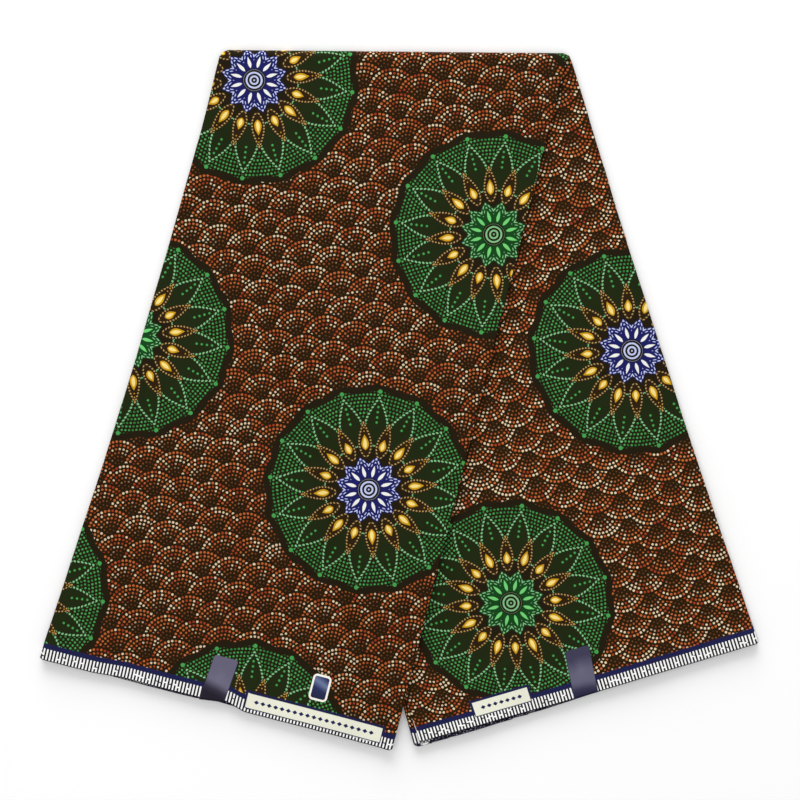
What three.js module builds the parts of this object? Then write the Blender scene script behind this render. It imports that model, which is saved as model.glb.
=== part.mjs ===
// A folded length of wax print cotton, with its two seller's labels and one round-cornered sticker.
// The length is folded side to side into a long strip of plies. The strip is then folded once across,
// a little askew, so that its two legs fan apart. The front leg lies on the back leg, and past the
// back leg's left edge it drops to the surface.
//
// Millimetres. +Z is up, +Y points to the fold across the top, and the origin is on the surface that
// the bundle lies on, under the middle of its box.

import * as THREE from 'three';

// ---- driving dimensions -------------------------------------------------------------------------

const GAP = 0.3;                 // between two solids that lie against each other
const WALL = 1.0;                // a shown ply
const LEG_THICKNESS = 6.0;       // the plies of one leg, lying loosely on each other
const FOLD_RADIUS = LEG_THICKNESS + GAP / 2;   // of the outside of the fold across the top

const FOLD_Y = 297.5;            // the highest point of the fold across the top, at its left end
const FOLD_DROP = 2.8;           // how much lower its right end lies

// The side edges of the legs. A point is s mm below the top: x = top + lean * s + flare * s * s.
const EDGES = {
  frontLeft: { top: -150.7, lean: -0.258, flare: -0.000084, length: 517.0 },
  frontRight: { top: 143.5, lean: -0.2525, flare: 0, length: 594.8 },
  backLeft: { top: -150.7, lean: 0.275, flare: 0, length: 592.0 },
  backRight: { top: 143.5, lean: 0.298, flare: 0.000046, length: 504.5 },
};

const OVERHANG = 3.5;            // how far the front leg stays level past the back leg's left edge
const DROP_REACH = 28;           // how far it then takes to come down to the surface
const CURL = { height: 1.4, reach: 26 };       // how the legs' ends lift off the surface

// Where the shown ply of the back leg lies short of the plies beneath it, near its lower left corner
const SHORT_PLY = { side: 4.6, end: 3.4, sideReach: 0.16, endReach: 0.26 };

const SIDE_ROUND = 1.3;          // the radius of the outer ply's turn at the side folds
const INNER_CORNER = 0.1;        // the slant of the corner inside that turn

// The hidden plies' folds at the sides: how far in from the edge they bulge, and their corners' places
// as shares of one fold's height
const LAYERS = { count: 3, out: 0.2, in: 0.9, corners: [0.04, 0.3, 0.7, 0.96] };

const ARC_STEPS = 6;             // steps round the fold across the top
const ROUND_STEPS = 3;           // steps round a ply's side turn
const BOW = 0.01;                // a hair's bow, to divide an end face

// Where a cross section's flat stretch has points: over the drop, and shares of what is beyond it.
// The drop keeps clear of the turns at the sides by the margins.
const COLUMNS = { drop: [1, 0.78, 0.5, 0.22, 0], beyond: [0.33, 0.66], margin: 2, clear: 8 };

// How far down a leg its cross sections are, as shares of its length
const FRONT_SHARES = [1, 0.985, 0.97, 0.955, 0.9, 0.8, 0.6, 0.4, 0.25, 0.14, 0.08, 0.035, 0];
const BACK_SHARES = [0, 0.25, 0.5, 0.75, 0.9, 0.955, 0.97, 0.985, 1];

// A label's clearances are from the cloth under its upper leaf and from the leg's end. Its turns
// over and under that end are cut off by so much.
const LABEL = { width: 21.4, upper: 40.5, lower: 10, wall: 0.4, corner: 3, lift: 0.45, clear: 0.6 };
const LABEL_TURN = { over: 0.8, under: 0.5 };
const LABEL_STEPS = [1, 0.6, 0.3, 0];          // over the stretch where the leg's end lifts
// A label is put on askew: its upper leaf leans to the right, and its lower leaf as much the other way
const LABEL_PLACES = [
  { name: 'label_left', leg: 'front', across: 0.4865, lean: 0.082 },
  { name: 'label_right', leg: 'back', across: 0.4975, lean: 0.096 },
];
const STICKER = { width: 16, length: 23, wall: 0.4, corner: 3.2, lift: 0.5 };
const STICKER_PLACE = { leg: 'front', across: 0.766, fromEnd: 35.6 };

// ---- materials ----------------------------------------------------------------------------------

const cloth = (color) => new THREE.MeshStandardMaterial({ color, roughness: 0.8, metalness: 0 });
const gloss = (color) => new THREE.MeshStandardMaterial({ color, roughness: 0.3, metalness: 0 });
const PRINT_BROWN = 0x6b3f22;
const PLY_BROWN = 0x4a2c19;
const LABEL_LILAC = 0x6c6a86;
const STICKER_NAVY = 0x2b3153;

// ---- the folded strip ---------------------------------------------------------------------------

const smooth = (x) => {
  const t = THREE.MathUtils.clamp(x, 0, 1);
  return t * t * (3 - 2 * t);
};

const edgeX = (edge, s) => edge.top + edge.lean * s + edge.flare * s * s;

// A point of a side edge, at a share of the leg's length below the fold
function edgePoint(edge, share, start) {
  const s = THREE.MathUtils.lerp(start, edge.length, share);
  return new THREE.Vector2(edgeX(edge, s), FOLD_Y - s);
}

const FOLD_START = { left: FOLD_RADIUS, right: FOLD_RADIUS + FOLD_DROP };

// A row runs across the strip, from its left edge to its right edge
function legRow(leg, share) {
  const [left, right] = leg === 'front' ? ['frontLeft', 'frontRight'] : ['backLeft', 'backRight'];
  return {
    leg,
    share,
    left: edgePoint(EDGES[left], share, FOLD_START.left),
    right: edgePoint(EDGES[right], share, FOLD_START.right),
  };
}

function foldRow(turn) {
  const front = legRow('front', 0);
  const back = legRow('back', 0);
  return {
    leg: 'fold',
    turn,
    share: 0,
    left: front.left.lerp(back.left, turn),
    right: front.right.lerp(back.right, turn),
  };
}

const foldTurns = Array.from({ length: ARC_STEPS - 1 }, (_, i) => (i + 1) / ARC_STEPS);
const ROWS = [
  ...FRONT_SHARES.map((share) => legRow('front', share)),
  ...foldTurns.map(foldRow),
  ...BACK_SHARES.map((share) => legRow('back', share)),
];

const rowWidth = (row) => row.left.distanceTo(row.right);

// How far a point lies to the right of the line where the front leg begins to drop, which follows
// the back leg's left edge
function beyondDropLine(point) {
  const edge = EDGES.backLeft;
  return (point.x - edgeX(edge, FOLD_Y - point.y)) / Math.hypot(1, edge.lean) + OVERHANG;
}

// The height of the front leg's underside: on the back leg, or on the surface to the left of it
function frontUnderside(point) {
  const top = LEG_THICKNESS + GAP;
  return top * smooth(1 + beyondDropLine(point) / DROP_REACH);
}

function curl(row) {
  const fromEnd = (1 - row.share) * (EDGES.frontLeft.length - FOLD_RADIUS);
  return CURL.height * smooth(1 - fromEnd / CURL.reach);
}

// The place of a point that is `across` mm from the row's left edge and `depth` mm under the face
// that is uppermost on the front leg and lowest on the back leg
function place(row, across, depth) {
  const share = across / rowWidth(row);
  const plan = row.left.clone().lerp(row.right, share);
  if (row.leg === 'fold') {
    const angle = row.turn * Math.PI;
    const radius = FOLD_RADIUS - depth;
    const z = FOLD_RADIUS + radius * Math.cos(angle);
    return new THREE.Vector3(plan.x, plan.y + radius * Math.sin(angle), z);
  }
  const z = row.leg === 'front' ? frontUnderside(plan) + LEG_THICKNESS - depth : depth;
  return new THREE.Vector3(plan.x, plan.y, z + curl(row));
}

// ---- lofts --------------------------------------------------------------------------------------

// The triangles of an upright end face, in the ring's own order. The ring is bowed a hair while it
// is divided, so that no three of its points are in line.
function endFace(ring) {
  const xs = ring.map((p) => p.x);
  const [low, high] = [Math.min(...xs), Math.max(...xs)];
  const outline = ring.map((p) => {
    const bow = BOW * ((2 * p.x - low - high) / (high - low)) ** 2;
    return new THREE.Vector2(p.x, p.z + bow);
  });
  const turned = THREE.ShapeUtils.isClockWise(outline);
  const faces = THREE.ShapeUtils.triangulateShape(outline, []);
  return faces.map(([a, b, c]) => (turned ? [c, b, a] : [a, b, c]));
}

// A closed body through rings of equally many points. Each four-sided patch is divided from its
// left corner on one ring to its right corner on the next, so that bodies that lie on each other
// have the same facets.
function loft(rings) {
  const count = rings[0].length;
  const position = rings.flatMap((ring) => ring.flatMap((p) => [p.x, p.y, p.z]));
  const index = [];
  for (let r = 0; r < rings.length - 1; r += 1) {
    for (let k = 0; k < count; k += 1) {
      const a = r * count + k;
      const b = r * count + ((k + 1) % count);
      if (rings[r][k].x <= rings[r][(k + 1) % count].x) {
        index.push(a, b, b + count, a, b + count, a + count);
      } else {
        index.push(a, b, a + count, b, b + count, a + count);
      }
    }
  }
  const last = (rings.length - 1) * count;
  endFace(rings[0]).forEach(([a, b, c]) => index.push(c, b, a));
  endFace(rings.at(-1)).forEach(([a, b, c]) => index.push(last + a, last + b, last + c));
  const geometry = new THREE.BufferGeometry();
  geometry.setAttribute('position', new THREE.Float32BufferAttribute(position, 3));
  geometry.setIndex(index);
  if (volume(geometry) < 0) {
    index.reverse();
    geometry.setIndex(index);
  }
  geometry.computeVertexNormals();
  return geometry;
}

function volume(geometry) {
  const at = geometry.getAttribute('position');
  const index = geometry.getIndex();
  const corners = [0, 1, 2].map(() => new THREE.Vector3());
  let sum = 0;
  for (let i = 0; i < index.count; i += 3) {
    corners.forEach((corner, k) => corner.fromBufferAttribute(at, index.getX(i + k)));
    sum += corners[0].dot(corners[1].clone().cross(corners[2])) / 6;
  }
  return sum;
}

function named(name, geometry, material) {
  const mesh = new THREE.Mesh(geometry, material);
  mesh.name = name;
  return mesh;
}

// ---- cross sections -----------------------------------------------------------------------------

function columns(row) {
  const width = rowWidth(row);
  const margin = SIDE_ROUND + SHORT_PLY.side + COLUMNS.margin;
  const clear = margin + COLUMNS.clear;
  const front = row.leg === 'front' ? row : legRow('front', 0);
  const [start, end] = [beyondDropLine(front.left), beyondDropLine(front.right)];
  const scale = rowWidth(front) / (end - start);
  const ridge = THREE.MathUtils.clamp(-start * scale, clear, width - clear);
  const reach = Math.min(DROP_REACH * scale, ridge - margin - COLUMNS.margin);
  const drop = COLUMNS.drop.map((part) => ridge - part * reach);
  const beyond = COLUMNS.beyond.map((part) => THREE.MathUtils.lerp(ridge, width - margin, part));
  return [...drop, ...beyond];
}

// The outline of a shown ply, whose sides turn round towards the hidden plies. Its left side may
// be inset.
function shownPly(row, round, inset) {
  const width = rowWidth(row);
  const turn = Array.from({ length: ROUND_STEPS + 1 }, (_, i) => (i / ROUND_STEPS) * (Math.PI / 2));
  const outside = turn.map((angle) => [round * (1 - Math.cos(angle)), round * (1 - Math.sin(angle))]);
  const inside = [[WALL + INNER_CORNER, WALL], [WALL, round]];
  const onLeft = ([across, depth]) => [inset + across, depth];
  const onRight = ([across, depth]) => [width - across, depth];
  const flat = columns(row);
  return [
    ...outside.map(onLeft),
    ...flat.map((across) => [across, 0]),
    ...outside.map(onRight).reverse(),
    ...inside.map(onRight).reverse(),
    ...flat.map((across) => [across, WALL]).reverse(),
    ...inside.map(onLeft),
  ];
}

// The outline of the hidden plies, with a bulge for each fold that shows at the sides
function hiddenPlies(row) {
  const width = rowWidth(row);
  const [top, bottom] = [WALL + GAP, LEG_THICKNESS - WALL - GAP];
  const shoulder = WALL + GAP;
  const [first, last] = [SIDE_ROUND + GAP, LEG_THICKNESS - SIDE_ROUND - GAP];
  const layer = (last - first) / LAYERS.count;
  const side = [[shoulder, top], [shoulder, first]];
  const bulge = [LAYERS.in, LAYERS.out, LAYERS.out, LAYERS.in];
  for (let i = 0; i < LAYERS.count; i += 1) {
    side.push(...bulge.map((across, k) => [across, first + (i + LAYERS.corners[k]) * layer]));
  }
  side.push([shoulder, last], [shoulder, bottom]);
  const flat = columns(row);
  return [
    ...flat.map((across) => [across, top]),
    ...side.map(([across, depth]) => [width - across, depth]),
    ...flat.map((across) => [across, bottom]).reverse(),
    ...side.reverse(),
  ];
}

const ringOf = (row, outline) => outline.map(([across, depth]) => place(row, across, depth));

// A body swept down the front leg, round the fold and down the back leg
function sweep(sectionOf, ringFor = ringOf) {
  return loft(ROWS.map((row) => ringFor(row, sectionOf(row))));
}

// ---- the plies ----------------------------------------------------------------------------------

function outerPly() {
  return named('outer_ply', sweep((row) => shownPly(row, SIDE_ROUND, 0)), cloth(PRINT_BROWN));
}

function hiddenCore() {
  return named('hidden_plies', sweep(hiddenPlies), cloth(PLY_BROWN));
}

// The inner ply is the outer one turned over. On the back leg it is the shown face, and it lies
// short of the others at the lower left.
function innerPly() {
  const sideInset = (row) => {
    const near = 1 - (1 - row.share) / SHORT_PLY.sideReach;
    return row.leg === 'back' ? SHORT_PLY.side * smooth(near) : 0;
  };
  const section = (row) => {
    const outline = shownPly(row, WALL, sideInset(row));
    return outline.map(([across, depth]) => [across, LEG_THICKNESS - depth]);
  };
  const ringFor = (row, outline) => outline.map(([across, depth]) => {
    const point = place(row, across, depth);
    if (row.leg !== 'back') return point;
    const near = smooth(1 - across / rowWidth(row) / SHORT_PLY.endReach);
    const short = SHORT_PLY.end * near * smooth(1 - (1 - row.share) / SHORT_PLY.sideReach);
    return point.setY(point.y + short);
  });
  return named('inner_ply', sweep(section, ringFor), cloth(PRINT_BROWN));
}

// ---- the labels and the sticker -----------------------------------------------------------------

// A frame at a leg's lower edge: +Y runs up the leg, +X along the edge
function edgeFrame(leg, across) {
  const end = legRow(leg, 1);
  const along = end.right.clone().sub(end.left);
  const foot = end.left.clone().lerp(end.right, across);
  const group = new THREE.Group();
  group.position.set(foot.x, foot.y, 0);
  group.rotation.z = along.angle();
  return group;
}

// The label's middle line in its own frame, seen from the side: over the cloth, round its end and
// a little way under it
function labelPath() {
  const half = LABEL.wall / 2;
  const lift = (y) => CURL.height * smooth(1 - y / CURL.reach);
  const above = (y) => LEG_THICKNESS + LABEL.lift + half + lift(y);
  const corner = [0, 1 / 3, 1].map((part) => LABEL.upper - part * LABEL.corner);
  const upper = [...corner, ...LABEL_STEPS.map((part) => part * CURL.reach)];
  const end = -(LABEL.clear + half);
  return [
    ...upper.map((y) => ({ y, z: above(y) })),
    { y: end, z: above(0) - LABEL_TURN.over },
    { y: end, z: half + LABEL_TURN.under },
    { y: end + LABEL_TURN.under, z: half },
    { y: LABEL.lower, z: half },
  ];
}

function labelHalfWidth(point) {
  const fromTop = LABEL.upper - point.y;
  const isCorner = fromTop < LABEL.corner && point.z > LEG_THICKNESS;
  const cut = isCorner ? LABEL.corner - Math.sqrt(fromTop * (2 * LABEL.corner - fromTop)) : 0;
  return LABEL.width / 2 - cut;
}

function label({ name, leg, across, lean }) {
  const path = labelPath();
  const rings = path.map((point, i) => {
    const before = path[Math.max(i - 1, 0)];
    const after = path[Math.min(i + 1, path.length - 1)];
    const side = new THREE.Vector2(after.y - before.y, after.z - before.z)
      .normalize()
      .rotateAround(new THREE.Vector2(), Math.PI / 2)
      .multiplyScalar(LABEL.wall / 2);
    const half = labelHalfWidth(point);
    const askew = Math.max(point.y, 0) * (point.z > LEG_THICKNESS ? lean : -lean);
    return [[-1, 1], [1, 1], [1, -1], [-1, -1]].map(
      ([x, face]) => new THREE.Vector3(askew + x * half, point.y + face * side.x, point.z + face * side.y),
    );
  });
  const frame = edgeFrame(leg, across);
  frame.add(named(name, loft(rings), gloss(LABEL_LILAC)));
  return frame;
}

function sticker() {
  const { width, length, corner, wall } = STICKER;
  const [x, y] = [width / 2, length / 2];
  const shape = new THREE.Shape();
  shape.absarc(x - corner, y - corner, corner, 0, Math.PI / 2);
  shape.absarc(-x + corner, y - corner, corner, Math.PI / 2, Math.PI);
  shape.absarc(-x + corner, -y + corner, corner, Math.PI, 1.5 * Math.PI);
  shape.absarc(x - corner, -y + corner, corner, 1.5 * Math.PI, 2 * Math.PI);
  const geometry = new THREE.ExtrudeGeometry(shape, {
    depth: wall,
    bevelEnabled: false,
    curveSegments: 5,
  });
  const mesh = named('sticker', geometry, gloss(STICKER_NAVY));
  mesh.position.set(0, STICKER_PLACE.fromEnd, LEG_THICKNESS + STICKER.lift);
  const frame = edgeFrame(STICKER_PLACE.leg, STICKER_PLACE.across);
  frame.add(mesh);
  return frame;
}

// ---- the object ---------------------------------------------------------------------------------

const bundle = new THREE.Group();
bundle.add(outerPly(), hiddenCore(), innerPly(), ...LABEL_PLACES.map(label), sticker());

// The middle of its box goes over the origin
const box = new THREE.Box3().setFromObject(bundle);
bundle.position.set(-(box.min.x + box.max.x) / 2, -(box.min.y + box.max.y) / 2, -box.min.z);

export default bundle;
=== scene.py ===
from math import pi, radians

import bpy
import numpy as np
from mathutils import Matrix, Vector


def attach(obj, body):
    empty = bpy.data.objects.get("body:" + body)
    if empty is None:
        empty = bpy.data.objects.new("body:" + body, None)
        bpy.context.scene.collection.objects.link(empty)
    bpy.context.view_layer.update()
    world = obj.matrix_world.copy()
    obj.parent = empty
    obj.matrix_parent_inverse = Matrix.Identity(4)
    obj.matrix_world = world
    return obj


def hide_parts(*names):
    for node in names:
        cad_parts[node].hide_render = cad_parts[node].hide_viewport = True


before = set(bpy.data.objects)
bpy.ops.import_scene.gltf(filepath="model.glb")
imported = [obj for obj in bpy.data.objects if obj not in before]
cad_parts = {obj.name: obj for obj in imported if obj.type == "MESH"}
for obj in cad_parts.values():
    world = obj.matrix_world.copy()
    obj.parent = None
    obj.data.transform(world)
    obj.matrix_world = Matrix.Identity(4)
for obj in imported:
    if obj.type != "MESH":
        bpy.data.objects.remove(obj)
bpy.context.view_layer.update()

# A folded length of wax print cotton, lying flat. A long strip of plies is folded once across, and its
# two legs fan apart. Lengths are in millimetres up to the meshes, which are in metres, and a point's
# place is worked out as the CAD does it. Along the strip, t runs from 0 at the front leg's end to 1
# at the fold, to 2 on the fold's other side and to 3 at the back leg's end.

TAU = 2 * pi
MM = 0.001
SHARP = radians(50)                        # edges that turn by more are drawn sharp

# ---- driving dimensions ------------------------------------------------------------------------------

GAP = 0.3                                  # between the two legs
LEG = 6.0                                  # thickness of one leg
FOLD_RADIUS = LEG + GAP / 2
FOLD_Y = 297.5                             # the highest point of the fold across the top
FOLD_START = {"left": FOLD_RADIUS, "right": FOLD_RADIUS + 2.8}

# x = top + lean * s + flare * s * s, at s mm below the top
EDGES = {
    ("front", "left"): {"top": -150.7, "lean": -0.258, "flare": -0.000084, "length": 517.0},
    ("front", "right"): {"top": 143.5, "lean": -0.2525, "flare": 0.0, "length": 594.8},
    ("back", "left"): {"top": -150.7, "lean": 0.275, "flare": 0.0, "length": 592.0},
    ("back", "right"): {"top": 143.5, "lean": 0.298, "flare": 0.000046, "length": 504.5},
}
FOLD_WIDTH = EDGES["front", "right"]["top"] - EDGES["front", "left"]["top"]
FOLD_CORNER = {"cut": 0.3, "reach": 5.0}
OVERHANG, DROP_REACH = 3.5, 28.0           # where the front leg drops beside the back one
CURL = {"height": 1.4, "reach": 26.0}      # how the ends lift off the surface

SHEET = 0.35                               # a shown ply's own thickness
TURN = 0.45                                # radius of its turn at a side fold
TUCK = 12.0                                # how far it then runs back under itself
CORNER = 3.0                               # round corners of the strip's ends
SHORT = {"side": 4.6, "end": 1.5, "side_reach": 95.0, "end_reach": 150.0}  # the short upper ply
LEAVES = 8                                 # folded pairs of plies between the two shown plies
LEAF_GAP = 0.03

CAMERA_HEIGHT = 2.0                        # metres
PHOTO_WIDTH = 0.680                        # metres of cloth across the picture


# ---- the strip's form --------------------------------------------------------------------------------

def smooth(x):
    t = np.clip(x, 0, 1)
    return t * t * (3 - 2 * t)


def edge_x(edge, s):
    return edge["top"] + edge["lean"] * s + edge["flare"] * s * s


def edge_point(leg, side, share):
    edge = EDGES[leg, side]
    s = FOLD_START[side] + (edge["length"] - FOLD_START[side]) * share
    return np.stack([edge_x(edge, s), FOLD_Y - s], -1)


def leg_plan(leg, share, across):
    """Plan points at shares of a leg's length and at shares of its width."""
    left, right = edge_point(leg, "left", share), edge_point(leg, "right", share)
    return left + (right - left) * np.asarray(across)[..., None]


ENDS = {leg: leg_plan(leg, np.ones(2), [0, 1]) for leg in ("front", "back")}
MIDDLE = (np.array([ENDS["front"][0][0] + ENDS["back"][1][0], FOLD_Y + ENDS["front"][1][1]])) / 2


def end_frame(leg):
    """The left end of a leg's lower edge, the direction along it and the one up the leg."""
    start, stop = ENDS[leg]
    along = (stop - start) / np.linalg.norm(stop - start)
    return start, along, np.array([-along[1], along[0]])


def swell(x, y, waves):
    """Soft uneven waves: each row is a length, a direction, a phase and a height."""
    total = 0
    for length, direction, phase, height in waves:
        c, s = np.cos(radians(direction)), np.sin(radians(direction))
        bend = 0.35 * np.sin((x * s - y * c) * TAU / (2.3 * length) + 2 * phase)
        total = total + height * np.sin((x * c + y * s) * TAU / length + phase + bend)
    return total


WAVES = {
    "front": [(118, 10, 0.4, 0.34), (173, 72, 2.1, 0.30), (67, -24, 4.0, 0.16), (46, 31, 1.2, 0.09)],
    "back": [(126, -12, 1.7, 0.32), (158, 100, 0.3, 0.30), (73, 28, 2.6, 0.17), (49, -38, 5.1, 0.09)],
}

# Long creases: the place of the middle, the direction, half the length, the width, and the height
# of the ridge beside the trough
CREASES = {
    "front": [
        (-178, -62, 62, 70, 5.0, 0.55), (-96, 128, -20, 85, 6.5, 0.45), (30, 30, 84, 60, 5.5, -0.5),
        (104, 118, 78, 34, 3.2, 0.9), (92, 96, 100, 26, 2.8, -0.8), (98, 209, 35, 22, 3.0, 0.7),
        (32, -118, 82, 40, 3.4, 0.8), (-232, -150, 12, 40, 4.4, 0.5), (-40, -150, 66, 80, 6.0, 0.4),
        (-10, 232, 4, 90, 7.0, -0.4), (-118, -196, -28, 36, 4.0, -0.45),
    ],
    "back": [
        (205, -40, -66, 70, 5.4, 0.55), (128, -170, -20, 50, 5.0, -0.5), (236, -164, -80, 42, 3.8, 0.6),
        (158, 96, -70, 50, 4.6, 0.5), (96, -226, 30, 34, 3.6, 0.5), (60, -210, -76, 52, 4.2, -0.4),
    ],
}


def crease(x, y, rows):
    total = 0
    for cx, cy, direction, half, width, height in rows:
        c, s = np.cos(radians(direction)), np.sin(radians(direction))
        along = ((x - cx) * c + (y - cy) * s) / half
        bend = 0.9 * width * np.sin(2.6 * along + cx) * (1 + 0.4 * along)
        off = ((y - cy) * c - (x - cx) * s - bend) / (width * (1 + 0.3 * np.sin(5 * along + cy)))
        reach = smooth(1.15 - np.abs(along)) * (0.75 + 0.25 * np.sin(7 * along + cx))
        total = total + height * reach * (np.exp(-off * off) - 0.75 * np.exp(-((off - 1.5) ** 2)))
    return total


SIDE_PUFF = {"height": 0.42, "inside": 5, "spread": 8}
PLAIN_REACH = 46                               # how far below the fold the unevenness is at its full


def side_puff(leg, x, y):
    """The folded sides stand a little fuller than the middle, and not evenly so."""
    total = 0
    for side, sign in (("left", 1), ("right", -1)):
        edge = EDGES[leg, side]
        inside = sign * (x - edge_x(edge, FOLD_Y - y)) / np.hypot(1, edge["lean"])
        uneven = 1 + 0.45 * np.sin(y / 31 + 2 * sign) + 0.3 * np.sin(y / 12.7 + sign)
        bulge = np.exp(-((inside - SIDE_PUFF["inside"]) / SIDE_PUFF["spread"]) ** 2)
        total = total + SIDE_PUFF["height"] * uneven * bulge
    return total


def thickness(leg, x, y):
    """How thick a leg is: full at its sides, a little uneven, and plain near the fold."""
    below_fold = FOLD_Y - FOLD_RADIUS - y
    full = smooth(below_fold / PLAIN_REACH)
    return LEG + full * (swell(x, y, WAVES[leg]) + side_puff(leg, x, y) + crease(x, y, CREASES[leg]))


def front_underside(x, y):
    edge = EDGES["back", "left"]
    beyond = (x - edge_x(edge, FOLD_Y - y)) / np.hypot(1, edge["lean"]) + OVERHANG
    return (thickness("back", x, y) + GAP) * smooth(1 + beyond / DROP_REACH)


def curl(from_end):
    return CURL["height"] * smooth(1 - from_end / CURL["reach"])


def leg_height(leg, x, y, depth, from_end):
    """Height at a depth under the outer ply's face: uppermost in front, lowest at the back."""
    if leg == "front":
        base = front_underside(x, y) + (1 - depth / LEG) * thickness("front", x, y)
    else:
        base = depth / LEG * thickness("back", x, y)
    return base + curl(from_end)


# ---- sheets swept along the strip --------------------------------------------------------------------

END_STEPS = np.array([0, 0.3, 0.8, 1.5, 2.4, 3.5])     # mm from an end, where rows are close together
END_REACH = 45.0                                       # how far up a leg an end's unevenness carries
OFF_HEM = 500.0                                        # hem coordinates where nothing of the hem is printed


def leg_rows(leg, step):
    """Shares of a leg's length, from the fold to the end."""
    length = EDGES[leg, "left"]["length"] - FOLD_START["left"]
    count = int((length - END_STEPS[-1]) / step)
    even = np.linspace(0, 1 - END_STEPS[-1] / length, count)
    return np.concatenate([even, 1 - END_STEPS[-2::-1] / length])


def strip_rows(front_step, fold_count, back_step):
    front = 1 - leg_rows("front", front_step)[::-1]
    fold = 1 + np.linspace(0, 1, fold_count + 2)[1:-1]
    return np.concatenate([front, fold, 2 + leg_rows("back", back_step)])


def sweep(rows, columns, ragged):
    """Points of the columns along the rows, and where they lie on the cloth when it is unrolled.
    A column is a share of the width, an offset, an unrolled offset and a depth. ragged(leg, across,
    width, from_end) gives how far a point is moved in from the side and from the end."""
    share, off, unrolled, depth = (np.asarray(c, float)[None, :] for c in columns.T)
    t = rows[:, None]
    place = np.zeros((len(rows), len(columns), 3))
    flat = np.zeros((len(rows), len(columns), 2))
    hem = np.zeros_like(flat)
    radius = FOLD_RADIUS - depth
    top = {}
    for leg, along in (("front", 1 - t), ("back", t - 2)):
        mask = (t <= 1 if leg == "front" else t >= 2)[:, 0]
        length = EDGES[leg, "left"]["length"] - FOLD_START["left"]
        part = along[mask]
        ends = leg_plan(leg, part, [0.0]), leg_plan(leg, part, [1.0])
        width = np.linalg.norm(ends[1] - ends[0], axis=-1)
        from_end = (1 - part) * length
        across = share * width + off
        inward, up = ragged(leg, across, width, from_end)
        moved = part - up * smooth(1 - from_end / END_REACH) / length
        plan = leg_plan(leg, moved + 0 * share, (across + inward) / width)
        x, y = plan[..., 0], plan[..., 1]
        z = leg_height(leg, x, y, depth, from_end)
        place[mask] = np.stack([x, y, z], -1)
        nominal = leg_plan(leg, part + 0 * share, share + unrolled / width)
        start, edge, normal = end_frame(leg)
        hem[mask] = np.stack([(nominal - start) @ edge, (nominal - start) @ normal], -1)
        at_fold = leg_plan(leg, 0 * share, share + unrolled / width[-1 if leg == "front" else 0])
        top[leg] = at_fold
        if leg == "back":
            nominal[..., 1] = 2 * at_fold[..., 1] + pi * radius - nominal[..., 1]
        flat[mask] = nominal
    fold = ((t > 1) & (t < 2))[:, 0]
    turn = t[fold] - 1
    front, back = (leg_plan(leg, 0 * share, share + off / FOLD_WIDTH) for leg in ("front", "back"))
    plan = front + (back - front) * turn[..., None]
    inside = FOLD_WIDTH * np.minimum(share, 1 - share) + np.abs(off)
    rounded = 1 - FOLD_CORNER["cut"] * smooth(1 - inside / FOLD_CORNER["reach"])
    place[fold] = np.stack([
        plan[..., 0],
        plan[..., 1] + radius * rounded * np.sin(turn * pi),
        FOLD_RADIUS + radius * np.cos(turn * pi),
    ], -1)
    rolled = top["front"] + (top["back"] - top["front"]) * turn[..., None]
    flat[fold] = np.stack([rolled[..., 0], rolled[..., 1] + turn * pi * radius], -1)
    hem[fold] = OFF_HEM
    return place, flat, hem


def print_place(flat, angle, shift):
    """The print's own coordinates, turned to run along a leg."""
    c, s = np.cos(radians(angle)), np.sin(radians(angle))
    x, y = flat[..., 0], flat[..., 1]
    return np.stack([x * c - y * s + shift[0], x * s + y * c + shift[1]], -1)


def mesh_piece(name, points, faces, uvs, material):
    """A mesh in metres, over the part's own middle, riding on the one body."""
    mesh = bpy.data.meshes.new(name)
    co = points.reshape(-1, 3).copy()
    co[:, :2] -= MIDDLE
    mesh.from_pydata((co * MM).tolist(), [], faces)
    corner = np.zeros(len(mesh.loops), int)
    mesh.loops.foreach_get("vertex_index", corner)
    for layer, values in uvs.items():
        data = mesh.uv_layers.new(name=layer)
        data.data.foreach_set("uv", values.reshape(-1, 2)[corner].astype(np.float32).ravel())
    mesh.polygons.foreach_set("use_smooth", [True] * len(mesh.polygons))
    mesh.materials.append(material)
    piece = bpy.data.objects.new(name, mesh)
    bpy.context.scene.collection.objects.link(piece)
    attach(piece, "root")
    return piece


def grid_faces(rows, columns, closed=False):
    across = columns if closed else columns - 1
    r, c = np.meshgrid(np.arange(rows - 1), np.arange(across), indexing="ij")
    a = (r * columns + c).ravel()
    b = (r * columns + (c + 1) % columns).ravel()
    return np.stack([a, b, b + columns, a + columns], -1).tolist()


def thicken(piece, wall):
    """Gives an open sheet its thickness, on the side away from its face."""
    solid = piece.modifiers.new("thickness", "SOLIDIFY")
    solid.thickness = wall
    solid.offset = -1
    solid.use_even_offset = True
    graph = bpy.context.evaluated_depsgraph_get()
    whole = bpy.data.meshes.new_from_object(piece.evaluated_get(graph))
    piece.modifiers.clear()
    piece.data = whole
    whole.set_sharp_from_angle(angle=SHARP)


def shown_columns(count):
    """A shown ply's section: a tuck, a turn, the face, a turn and a tuck."""
    angles = np.linspace(0, pi, 7)
    tuck = [(TURN + TUCK * (1 - k / 3), -(pi - 1) * TURN - TUCK * (1 - k / 3), 2 * TURN) for k in range(3)]
    turn = [(TURN * (1 - np.sin(a)), TURN * (1 - a), TURN * (1 - np.cos(a))) for a in angles[::-1]]
    left = [(0.0, *row) for row in tuck + turn]
    right = [(1.0, -off, -unrolled, depth) for _, off, unrolled, depth in left[::-1]]
    shares = smooth_shares(count)
    face = [(u, TURN * (1 - 2 * u), TURN * (1 - 2 * u), 0.0) for u in shares]
    return np.array(left + face + right)


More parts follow.
